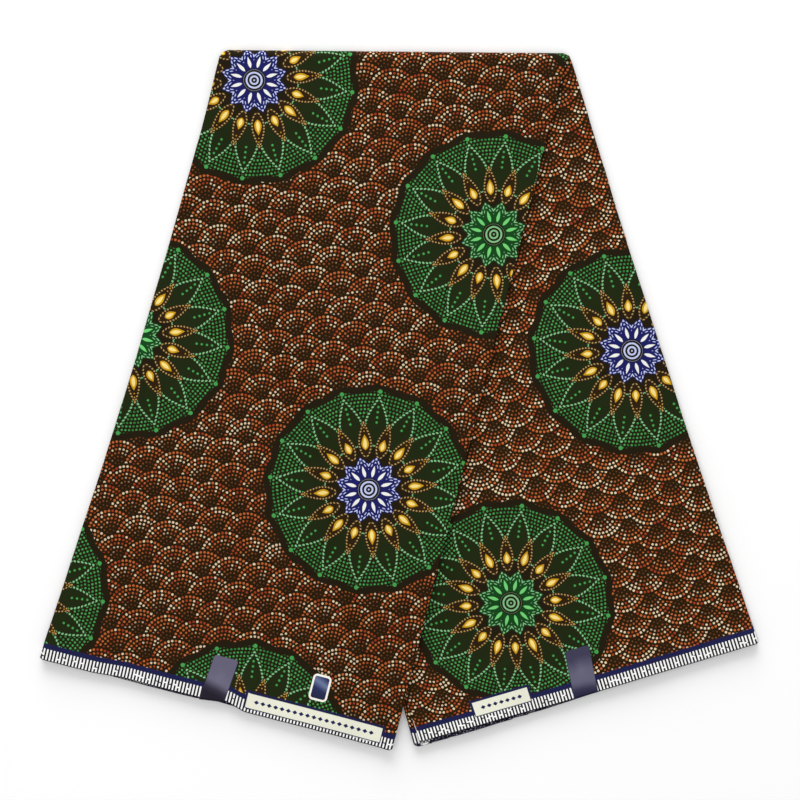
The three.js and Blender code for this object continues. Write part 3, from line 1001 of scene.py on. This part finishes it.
def label(name, leg, material):
    """A strip over the cloth's end, from its rounded top to a short leaf underneath."""
    upper, corner, wall = LABEL["upper"], LABEL["corner"], LABEL["wall"]
    end = LABEL_PLACES[leg]["end"]
    over, under = LABEL_TURN["over"], LABEL_TURN["under"]
    width = np.linalg.norm(ENDS[leg][1] - ENDS[leg][0])
    shown_ragged = outer_ragged if leg == "front" else inner_ragged
    low = wall / 2 + 0.05
    turn = np.linspace(0, pi / 2, 6)[1:]
    xs = np.linspace(-1, 1, 15)
    rows = []

    def row(y, height, along, half=LABEL["width"] / 2):
        """Adds a row across the strip. along is its place on the strip, and is negative underneath."""
        place = LABEL_PLACES[leg]
        askew = place["lean"] * (y if along > 0 else -y)
        tilted = y + place["tilt"] * xs * half * smooth(1 - y / 30)
        plan = on_leg(leg, place["across"], xs * half + askew, tilted)
        _, up = shown_ragged(leg, place["across"] * width + xs * half + askew, width, tilted)
        cloth_from_end = tilted - up * smooth(1 - tilted / END_REACH)
        z = cloth_top(leg, plan, cloth_from_end) + LABEL["lift"] if height is None else height + 0 * xs
        rows.append(np.stack([*plan.T, z, xs * half, np.full_like(xs, along)], -1))

    corner_steps = upper - corner * (1 - np.cos(np.linspace(0, pi / 2, 7)))
    for y in (*corner_steps, *np.linspace(upper - corner - 2, end + over, 22)):
        cut = max(0.0, corner - (upper - y))
        row(y, None, y, LABEL["width"] / 2 - corner + np.sqrt(max(corner ** 2 - cut ** 2, 0.0)))
    edge_top = rows[-1][:, 2]
    for a in turn:
        row(end + over * (1 - np.sin(a)), edge_top - LABEL_TURN["drop"] * (1 - np.cos(a)), 0.01)
    down = rows[-1][:, 2]
    for part in np.linspace(0, 1, 7)[1:]:
        row(end - LABEL_TURN["sag"] * np.sin(part * pi), down + (low + under - down) * part, -part * 5)
    for a in turn:
        row(end + under * (1 - np.cos(a)), low + under * (1 - np.sin(a)), -6.0)
    for y in np.linspace(end + 1.6, LABEL["lower"], 6):
        row(y, low, -7.0 - y)
    grid = np.array(rows)
    faces = [face[::-1] for face in grid_faces(len(rows), len(xs))]
    piece = mesh_piece(name, grid[..., :3], faces, {"label": grid[..., 3:]}, material)
    thicken(piece, wall * MM)
    return piece


def sticker(material):
    """A round-cornered film on the front leg."""
    half = np.array([STICKER["width"], STICKER["length"]]) / 2
    corner = STICKER["corner"]
    rings = 6
    corners = [((1, 1), 0), ((-1, 1), pi / 2), ((-1, -1), pi), ((1, -1), 1.5 * pi)]
    outline = []
    for sign, start in corners:
        for a in start + np.linspace(0, pi / 2, 7):
            outline.append((half - corner) * sign + corner * np.array([np.cos(a), np.sin(a)]))
    outline = np.array(outline)
    local = np.array([outline * (1 - k / rings) for k in range(rings)])
    middle_y = STICKER_PLACE["from_end"]
    arch = 1 + STICKER["arch"] * (1 - (outline[:, 0] / half[0]) ** 2)
    from_end = local[..., 1] * arch + middle_y
    plan = on_leg("front", STICKER_PLACE["across"], local[..., 0], from_end)
    z = cloth_top("front", plan, from_end) + STICKER["lift"] + STICKER["wall"]
    points = np.concatenate([plan, z[..., None]], -1)
    count = len(outline)
    faces = grid_faces(rings, count, closed=True)
    faces.append([(rings - 1) * count + k for k in range(count)])
    piece = mesh_piece("sticker_film", points, faces, {"label": local}, material)
    thicken(piece, STICKER["wall"] * MM)
    return piece


# ---- the object --------------------------------------------------------------------------------------

cloth_print = print_material()
cloth_folds = leaf_material()

outer = shown_ply("cloth_outer", outer_ragged, False, PRINTS["outer"], cloth_print)
inner = shown_ply("cloth_inner", inner_ragged, True, PRINTS["inner"], cloth_print)
leaves = [leaf(number, cloth_folds) for number in range(LEAVES)]
labels = [
    label(name, leg, label_material(name, **LABEL_TONES[leg]))
    for name, leg in (("label_film_left", "front"), ("label_film_right", "back"))
]
patch = sticker(sticker_material(STICKER["width"], STICKER["length"], STICKER["corner"]))

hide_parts("outer_ply")
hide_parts("inner_ply")
for piece in leaves:
    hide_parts("hidden_plies")
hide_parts("label_left")
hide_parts("label_right")
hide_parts("sticker")

# ---- the floor, the light and the camera -------------------------------------------------------------

FLOOR_HALF, FLOOR_DROP = 30.0, 0.0002          # metres
FLOOR_GREY = 0.9
SENSOR = 36.0                                  # millimetres


def floor():
    mesh = bpy.data.meshes.new("floor")
    corners = [(x * FLOOR_HALF, y * FLOOR_HALF, 0) for x, y in ((-1, -1), (1, -1), (1, 1), (-1, 1))]
    mesh.from_pydata(corners, [], [(0, 1, 2, 3)])
    material = bpy.data.materials.new("floor")
    material.use_nodes = True
    shader = material.node_tree.nodes["Principled BSDF"]
    shader.inputs["Base Color"].default_value = (FLOOR_GREY, FLOOR_GREY, FLOOR_GREY, 1)
    shader.inputs["Roughness"].default_value = 0.9
    mesh.materials.append(material)
    piece = bpy.data.objects.new("floor", mesh)
    piece.location.z = -FLOOR_DROP
    bpy.context.scene.collection.objects.link(piece)


def area_light(name, place, size, power):
    light = bpy.data.lights.new(name, "AREA")
    light.shape = "DISK"
    light.size = size
    light.energy = power
    lamp = bpy.data.objects.new(name, light)
    lamp.location = place
    lamp.rotation_euler = (-Vector(place)).to_track_quat("-Z", "Y").to_euler()
    bpy.context.scene.collection.objects.link(lamp)


floor()
area_light("key", (-0.35, 3.9, 1.95), 3.7, 172)
area_light("fill", (-0.3, -0.5, 2.8), 2.6, 24)

world = bpy.data.worlds.new("studio")
world.use_nodes = True
world.node_tree.nodes["Background"].inputs["Color"].default_value = (1, 1, 1, 1)
world.node_tree.nodes["Background"].inputs["Strength"].default_value = 0.56
bpy.context.scene.world = world
bpy.context.scene.view_settings.view_transform = "Standard"

camera = bpy.data.objects.new("camera", bpy.data.cameras.new("camera"))
camera.location = (-MIDDLE[0] * MM, -MIDDLE[1] * MM, CAMERA_HEIGHT + LEG * MM)
camera.data.sensor_width = SENSOR
camera.data.lens = SENSOR * CAMERA_HEIGHT / PHOTO_WIDTH
camera.data.clip_start = 0.1
bpy.context.scene.collection.objects.link(camera)
bpy.context.scene.camera = camera
